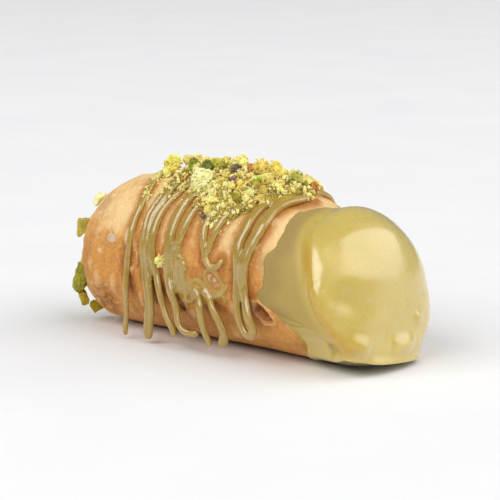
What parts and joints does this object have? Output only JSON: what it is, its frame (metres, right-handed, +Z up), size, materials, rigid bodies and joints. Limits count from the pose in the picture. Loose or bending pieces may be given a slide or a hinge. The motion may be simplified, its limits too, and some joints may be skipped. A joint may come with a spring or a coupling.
{
  "type": "cannolo",
  "caption": "Small filled cannolo: a blistered fried pastry tube with one end dipped in green-yellow pistachio coating, drizzled on top and sprinkled with chopped nuts.",
  "frame": {"origin": "centre of the object's box, on the table it lies on", "axes": "+X along the roll towards the dipped end, +Y across it, +Z up"},
  "size_m": [0.083, 0.035, 0.0396],
  "materials": {
    "shell": "golden fried dough, blistered, slightly oily satin",
    "filling": "smooth soft cream, satin",
    "coating": "set pistachio coating and drizzle, smooth and semi-gloss",
    "nuts": "chopped pistachio, dry and matt, yellow to green with purple-brown skin"
  },
  "bodies": {
    "root": {"shell": "shell", "filling": "filling", "dip": "coating", "nut_topping": "nuts", "rear_nuts": "nuts"}
  },
  "joints": []
}
